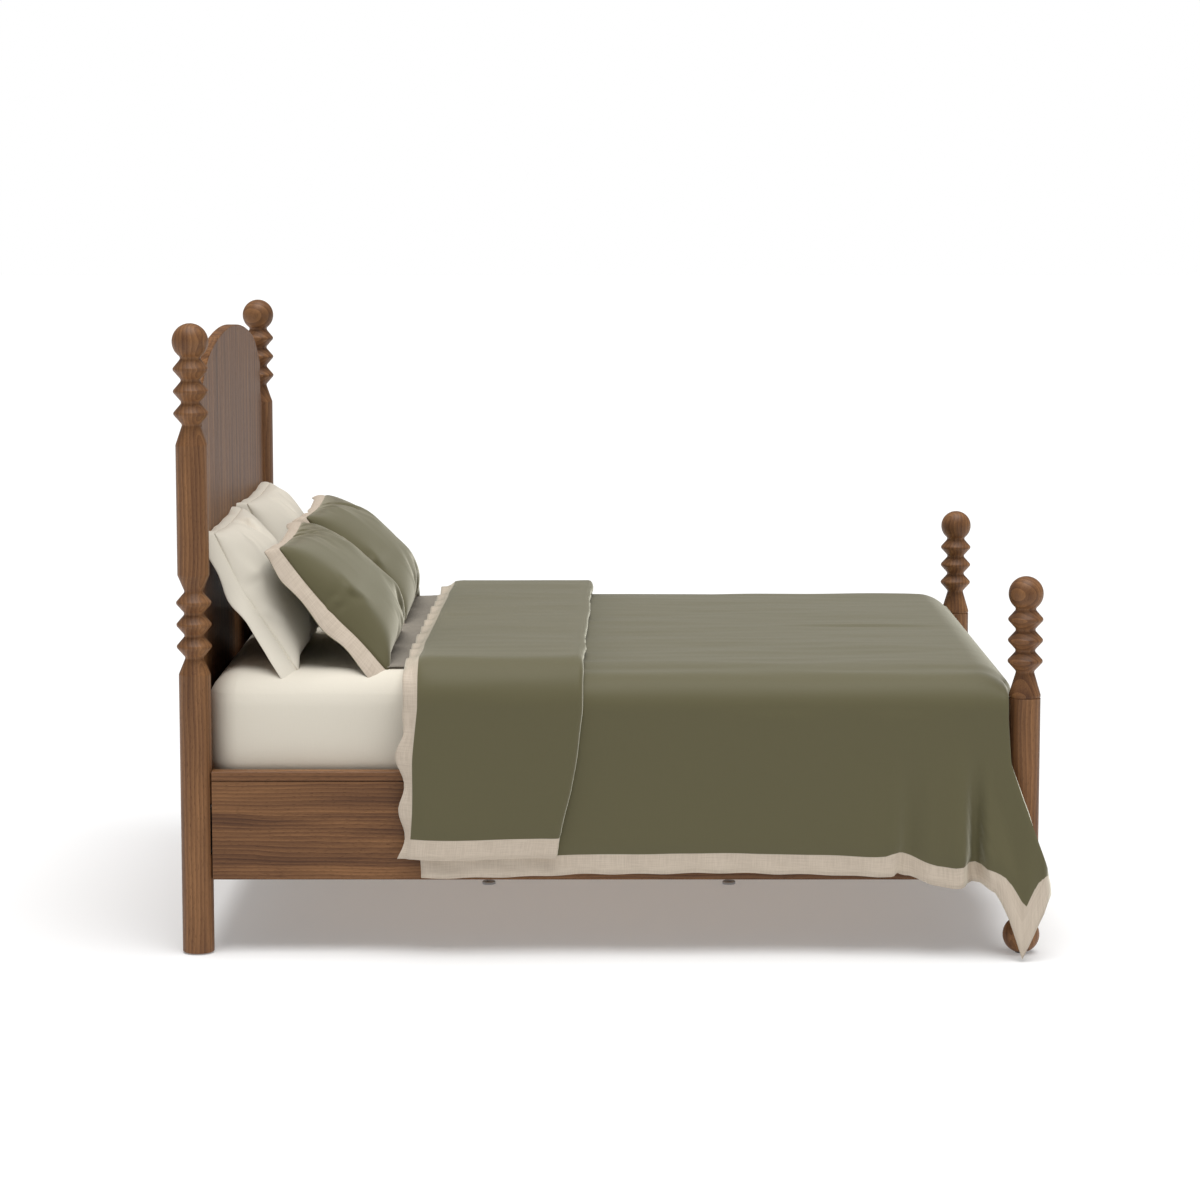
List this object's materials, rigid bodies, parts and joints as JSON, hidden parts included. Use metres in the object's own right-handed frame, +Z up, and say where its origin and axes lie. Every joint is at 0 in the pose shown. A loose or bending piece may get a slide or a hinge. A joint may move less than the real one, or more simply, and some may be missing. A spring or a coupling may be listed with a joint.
{
  "type": "panel bed",
  "caption": "Panel bed with beaded turned posts, arched headboard, low footboard, slatted base, mattress, shams and a duvet draped over the rails.",
  "frame": {"origin": "centre of the bed's footprint, on the floor", "axes": "+X from the head to the foot, +Y across the bed to the right-hand side of someone looking at the bed from its left, +Z up"},
  "size_m": [2.1753, 1.9034, 1.5725],
  "materials": {
    "walnut": "satin lacquered walnut",
    "pine": "planed unfinished pine",
    "zinc_steel": "zinc plated",
    "brass_insert": "turned brass",
    "nylon": "moulded nylon",
    "mattress_ticking": "knitted ticking",
    "white_cotton": "off-white cotton percale",
    "green_cotton": "olive cotton sateen"
  },
  "bodies": {
    "bed": {"beam_hanger_foot": "zinc_steel", "beam_hanger_head": "zinc_steel", "centre_beam": "pine", "centre_leg_1": "pine", "centre_leg_2": "pine", "duvet": "green_cotton", "fitted_sheet": "white_cotton", "foot_finial_left": "walnut", "foot_finial_right": "walnut", "foot_post_left": "walnut", "foot_post_right": "walnut", "footboard_cap": "walnut", "footboard_lower": "walnut", "footboard_upper": "walnut", "head_post_left": "walnut", "head_post_right": "walnut", "headboard_panel": "walnut", "headboard_rail": "walnut", "hook_plate_foot_left": "zinc_steel", "hook_plate_foot_right": "zinc_steel", "hook_plate_head_left": "zinc_steel", "hook_plate_head_right": "zinc_steel", "leg_bolts": "zinc_steel", "leg_inserts": "brass_insert", "mattress": "mattress_ticking", "plate_screws": "zinc_steel", "post_glides": "nylon", "sham_green_left": "green_cotton", "sham_green_right": "green_cotton", "sham_white_left": "white_cotton", "sham_white_right": "white_cotton", "side_rail_cap_left": "walnut", "side_rail_cap_right": "walnut", "side_rail_lower_left": "walnut", "side_rail_lower_right": "walnut", "side_rail_upper_left": "walnut", "side_rail_upper_right": "walnut", "slat_01": "pine", "slat_02": "pine", "slat_03": "pine", "slat_04": "pine", "slat_05": "pine", "slat_06": "pine", "slat_07": "pine", "slat_08": "pine", "slat_09": "pine", "slat_10": "pine", "slat_11": "pine", "slat_12": "pine", "slat_cleat_left": "pine", "slat_cleat_right": "pine", "slat_screws": "zinc_steel", "slot_plate_foot_left": "zinc_steel", "slot_plate_foot_right": "zinc_steel", "slot_plate_head_left": "zinc_steel", "slot_plate_head_right": "zinc_steel"},
    "leveller_1": {"leveller_1": "nylon"},
    "leveller_2": {"leveller_2": "nylon"}
  },
  "joints": [
    {"name": "leveller_1_screw", "type": "slide", "parent": "bed", "child": "leveller_1", "axis": [0, 0, 1], "range_m": [-0.01, 0.012]},
    {"name": "leveller_2_screw", "type": "slide", "parent": "bed", "child": "leveller_2", "axis": [0, 0, 1], "range_m": [-0.01, 0.012]}
  ]
}
